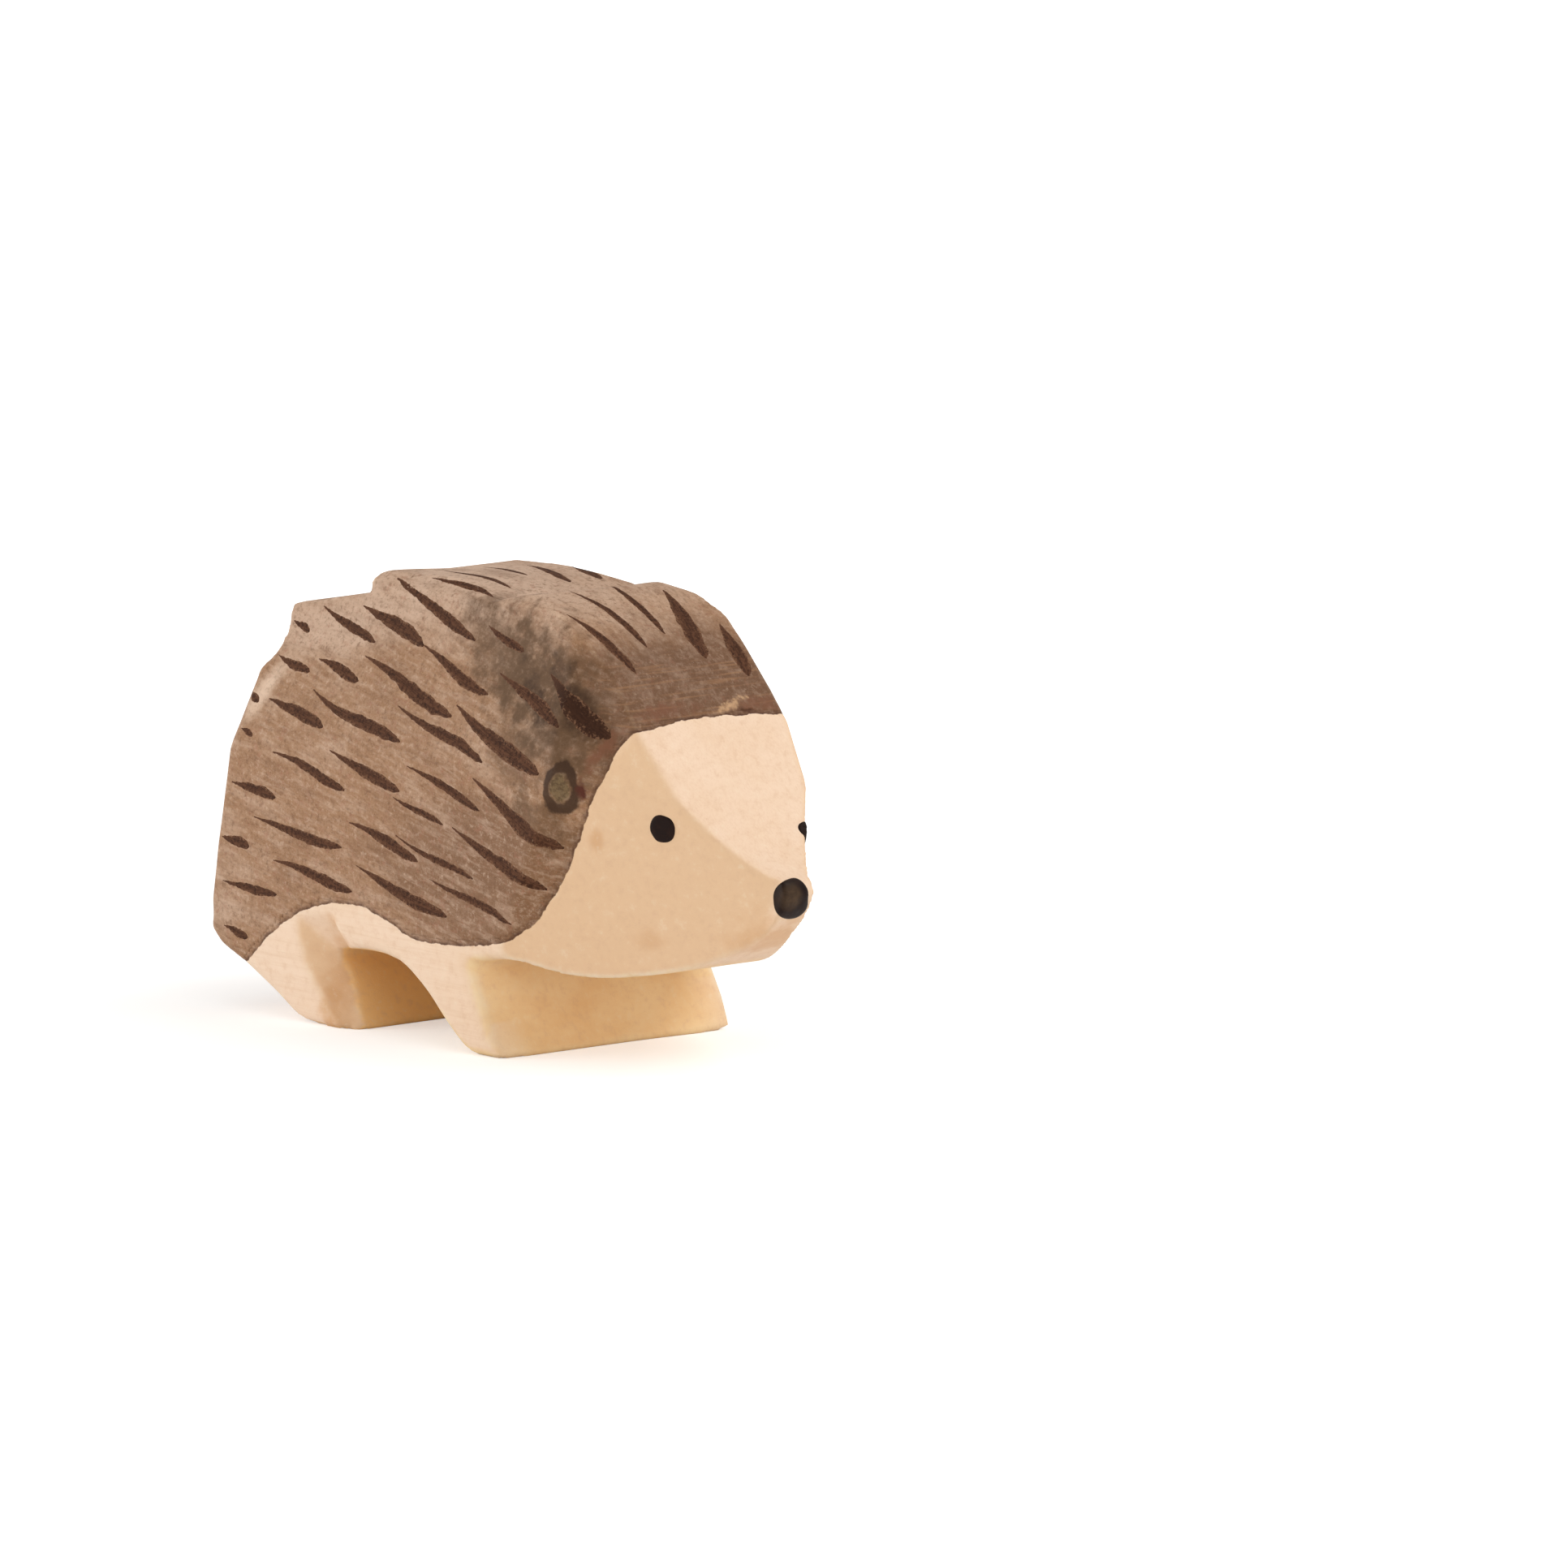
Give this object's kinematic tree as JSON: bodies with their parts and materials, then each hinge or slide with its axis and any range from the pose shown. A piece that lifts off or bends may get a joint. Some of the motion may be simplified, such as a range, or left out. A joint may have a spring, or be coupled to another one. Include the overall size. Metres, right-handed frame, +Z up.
{
  "type": "wooden hedgehog figurine",
  "caption": "Free-standing hedgehog figurine sawn and knife-carved from one wood block, with a glazed back, brush-stroke quills and painted eyes and nose.",
  "frame": {"origin": "on the ground under the middle of the figure", "axes": "+X towards the nose, +Y towards the animal's left, +Z up"},
  "size_m": [0.085, 0.0354, 0.0527],
  "materials": {
    "bare_wood": "sanded pale hardwood, unvarnished",
    "brown_glaze": "thin brown glaze soaked into the wood",
    "quill_paint": "dark brown brushed paint",
    "black_paint": "satin black paint"
  },
  "bodies": {
    "root": {"carved_body": "bare_wood", "brown_coat": "brown_glaze", "quill_strokes_right_flank": "quill_paint", "quill_strokes_left_flank": "quill_paint", "quill_strokes_back": "quill_paint", "quill_strokes_brow": "quill_paint", "quill_strokes_rump": "quill_paint", "eye_right": "black_paint", "eye_left": "black_paint", "nose_tip": "black_paint"}
  },
  "joints": []
}
